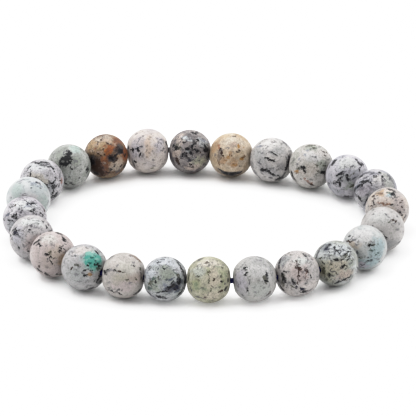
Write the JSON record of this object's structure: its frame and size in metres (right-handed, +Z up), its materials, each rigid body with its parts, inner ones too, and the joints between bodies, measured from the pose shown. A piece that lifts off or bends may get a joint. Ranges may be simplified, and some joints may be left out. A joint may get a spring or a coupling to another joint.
{
  "type": "beaded bracelet",
  "caption": "Stretch bracelet of round drilled speckled stone beads strung on one closed elastic cord, lying flat as a rounded oval loop.",
  "frame": {"origin": "centre of the loop's bounding box, on the surface that the beads rest on", "axes": "+X along the loop's longer diameter, +Y across it, +Z up, the way a hand goes through"},
  "size_m": [0.0718, 0.057, 0.0081],
  "materials": {
    "bead_01_stone": "satin polish",
    "bead_02_stone": "satin polish",
    "bead_03_stone": "satin polish",
    "bead_04_stone": "satin polish",
    "bead_05_stone": "satin polish",
    "bead_06_stone": "satin polish",
    "bead_07_stone": "satin polish",
    "bead_08_stone": "satin polish",
    "bead_09_stone": "satin polish",
    "bead_10_stone": "satin polish",
    "bead_11_stone": "satin polish",
    "bead_12_stone": "satin polish",
    "bead_13_stone": "satin polish",
    "bead_14_stone": "satin polish",
    "bead_15_stone": "satin polish",
    "bead_16_stone": "satin polish",
    "bead_17_stone": "satin polish",
    "bead_18_stone": "satin polish",
    "bead_19_stone": "satin polish",
    "bead_20_stone": "satin polish",
    "bead_21_stone": "satin polish",
    "bead_22_stone": "satin polish",
    "bead_23_stone": "satin polish",
    "bead_24_stone": "satin polish",
    "elastic": "braided, matte"
  },
  "bodies": {
    "root": {"bead_01": "bead_01_stone", "bead_02": "bead_02_stone", "bead_03": "bead_03_stone", "bead_04": "bead_04_stone", "bead_05": "bead_05_stone", "bead_06": "bead_06_stone", "bead_07": "bead_07_stone", "bead_08": "bead_08_stone", "bead_09": "bead_09_stone", "bead_10": "bead_10_stone", "bead_11": "bead_11_stone", "bead_12": "bead_12_stone", "bead_13": "bead_13_stone", "bead_14": "bead_14_stone", "bead_15": "bead_15_stone", "bead_16": "bead_16_stone", "bead_17": "bead_17_stone", "bead_18": "bead_18_stone", "bead_19": "bead_19_stone", "bead_20": "bead_20_stone", "bead_21": "bead_21_stone", "bead_22": "bead_22_stone", "bead_23": "bead_23_stone", "bead_24": "bead_24_stone", "elastic_cord": "elastic"}
  },
  "joints": []
}
